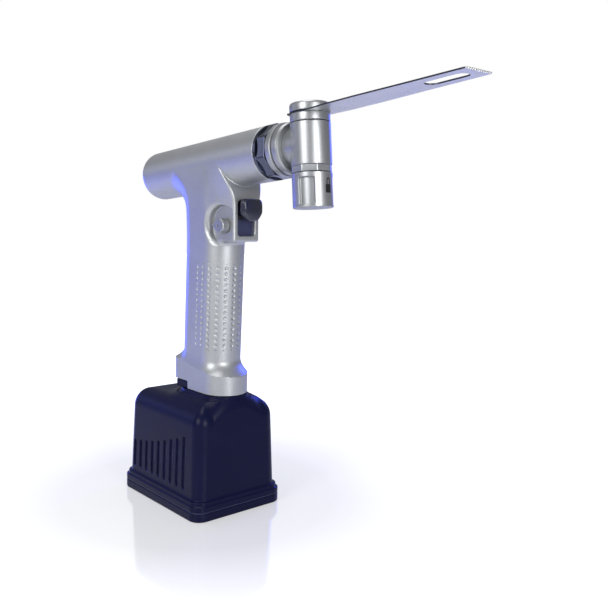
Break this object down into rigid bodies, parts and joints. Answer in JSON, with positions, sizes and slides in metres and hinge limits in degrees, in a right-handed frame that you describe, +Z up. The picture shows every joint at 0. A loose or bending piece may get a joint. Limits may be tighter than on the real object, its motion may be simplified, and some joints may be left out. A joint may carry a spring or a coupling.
{
  "type": "battery sagittal saw handpiece",
  "caption": "Pistol-grip battery surgical handpiece with a right-angle sagittal saw head, a long slotted saw blade and a dark battery foot that it stands on.",
  "frame": {"origin": "middle of the battery base, on the surface it stands on", "axes": "+X forward along the barrel and blade, +Y to the user's left, +Z up"},
  "size_m": [0.2692, 0.0682, 0.2547],
  "materials": {
    "cast_satin": "satin silver anodised casting",
    "head_satin": "fine satin silver",
    "collar_polish": "bright polished flats",
    "blade_steel": "fine ground stainless steel",
    "steel": "ground steel",
    "black_shell": "dark satin moulded shell",
    "trigger_black": "satin black moulding",
    "seal": "matt black seal",
    "inner_plastic": "moulded insulator",
    "brass": "plain brass",
    "board": "circuit board",
    "cell_wrap": "wrapped cells",
    "magnet": "sintered magnet"
  },
  "bodies": {
    "battery": {"battery_housing": "black_shell", "battery_base": "black_shell", "base_seal": "seal", "base_screws": "steel", "battery_cells": "cell_wrap", "cell_carrier": "inner_plastic", "terminal_block": "inner_plastic", "battery_contacts": "brass", "latch_block": "black_shell"},
    "latch": {"battery_latch": "black_shell", "latch_spring": "steel"},
    "handpiece": {"casing": "cast_satin", "motor_can": "steel", "motor_rear_plate": "steel", "motor_front_plate": "steel", "motor_magnets": "magnet", "nose_ring": "steel", "trigger_guide": "inner_plastic", "slot_plate": "trigger_black", "trigger_switch": "inner_plastic", "trigger_spring": "steel", "control_board": "board", "contact_block": "inner_plastic", "contact_pins": "brass"},
    "collar": {"coupling_collar": "collar_polish"},
    "trigger": {"trigger_pad": "trigger_black", "trigger_stem": "trigger_black"},
    "selector": {"selector_knob": "head_satin", "selector_shaft": "steel", "selector_cam": "inner_plastic"},
    "drive": {"rotor": "steel", "motor_shaft": "steel", "drive_coupling": "steel", "drive_shaft": "steel", "eccentric_ball": "steel"},
    "head": {"head_housing": "head_satin", "index_ring": "head_satin", "shaft_bearings": "steel", "upper_bearing": "steel", "lower_bearing": "steel", "retaining_nut": "head_satin", "clamp_spring": "steel"},
    "spindle": {"spindle": "steel", "fork": "steel", "blade_seat": "head_satin", "blade": "blade_steel"},
    "cap": {"clamp_cap": "head_satin", "draw_bolt": "steel"},
    "knob": {"lock_knob": "head_satin"}
  },
  "joints": [
    {"name": "handpiece_lift", "type": "slide", "parent": "battery", "child": "handpiece", "axis": [0, 0, 1], "range_m": [0, 0.03]},
    {"name": "latch_pull", "type": "slide", "parent": "battery", "child": "latch", "axis": [-1, 0, 0], "range_m": [0, 0.002], "stiffness_N_per_m": 400, "deforming": ["latch_spring"]},
    {"name": "trigger_pull", "type": "slide", "parent": "handpiece", "child": "trigger", "axis": [-1, 0, 0], "range_m": [0, 0.003], "stiffness_N_per_m": 800, "deforming": ["trigger_spring"]},
    {"name": "selector_turn", "type": "hinge", "parent": "handpiece", "child": "selector", "pos_m": [0.0396, -0.01, 0.1816], "axis": [0, -1, 0], "range_deg": [-50, 50]},
    {"name": "collar_turn", "type": "hinge", "parent": "handpiece", "child": "collar", "pos_m": [0, 0, 0.2178], "axis": [0.996, 0, 0.0889], "range_deg": [0, 30], "stiffness_Nm_per_rad": 0.3},
    {"name": "drive_spin", "type": "hinge", "parent": "handpiece", "child": "drive", "pos_m": [0, 0, 0.2178], "axis": [0.996, 0, 0.0889], "continuous": true},
    {"name": "head_index", "type": "hinge", "parent": "handpiece", "child": "head", "pos_m": [0, 0, 0.2178], "axis": [0.996, 0, 0.0889], "continuous": true},
    {"name": "blade_swing", "type": "hinge", "parent": "head", "child": "spindle", "pos_m": [0.10458, 0, 0.22713], "axis": [-0.0889, 0, 0.996], "range_deg": [-4, 4]},
    {"name": "knob_turn", "type": "hinge", "parent": "head", "child": "knob", "pos_m": [0.10458, 0, 0.22713], "axis": [-0.0889, 0, 0.996], "range_deg": [0, 90]},
    {"name": "cap_lift", "type": "slide", "parent": "spindle", "child": "cap", "axis": [-0.0889, 0, 0.996], "range_m": [0, 0.0016], "deforming": ["clamp_spring"]}
  ],
  "couplings": [
    {"joint": "knob_turn", "follows": "cap_lift", "rad_per_m": 981.7}
  ]
}
